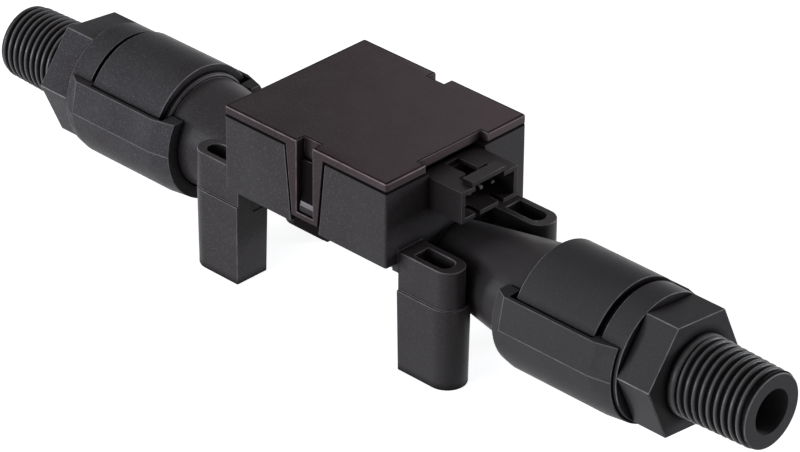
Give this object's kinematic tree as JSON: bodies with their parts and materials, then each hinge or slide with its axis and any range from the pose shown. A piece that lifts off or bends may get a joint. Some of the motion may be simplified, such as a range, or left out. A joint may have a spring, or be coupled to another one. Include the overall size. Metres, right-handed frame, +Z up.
{
  "type": "airflow sensor",
  "caption": "In-line airflow sensor: black moulded housing with clip-on lid and connector, clipped fittings with pipe threads at both ends, and D-shaped hollow feet.",
  "frame": {"origin": "on the ground below the middle of the part, where the feet stand", "axes": "+X along the flow towards the outlet, +Z up, -Y the long side of the housing that faces the viewer"},
  "size_m": [0.1576, 0.03, 0.0328],
  "materials": {
    "housing": "satin, fine grain",
    "lid": "satin, fine grain",
    "fitting": "satin",
    "clip": "satin",
    "connector": "satin",
    "board": "glass fibre laminate",
    "package": "matte",
    "chip": "satin",
    "silicon": "polished",
    "rubber": "matte",
    "pin": "plated",
    "screen": "etched",
    "divider": "moulded"
  },
  "bodies": {
    "root": {"flow_body": "housing", "lid": "lid", "circuit_board": "board", "amplifier_chip": "package", "regulator_chip": "package", "chip_capacitors": "chip", "chip_resistors": "chip", "flow_sensing_chip": "silicon", "connector_shell": "connector", "first_connector_pin": "pin", "second_connector_pin": "pin", "third_connector_pin": "pin", "bypass_gasket": "rubber", "bypass_plate": "divider", "flow_divider": "divider", "inlet_screen": "screen", "inlet_screen_ring": "divider", "inlet_front_seal_ring": "rubber", "inlet_rear_seal_ring": "rubber", "inlet_fitting": "fitting", "inlet_clip": "clip", "outlet_screen": "screen", "outlet_screen_ring": "divider", "outlet_front_seal_ring": "rubber", "outlet_rear_seal_ring": "rubber", "outlet_fitting": "fitting", "outlet_clip": "clip"}
  },
  "joints": []
}
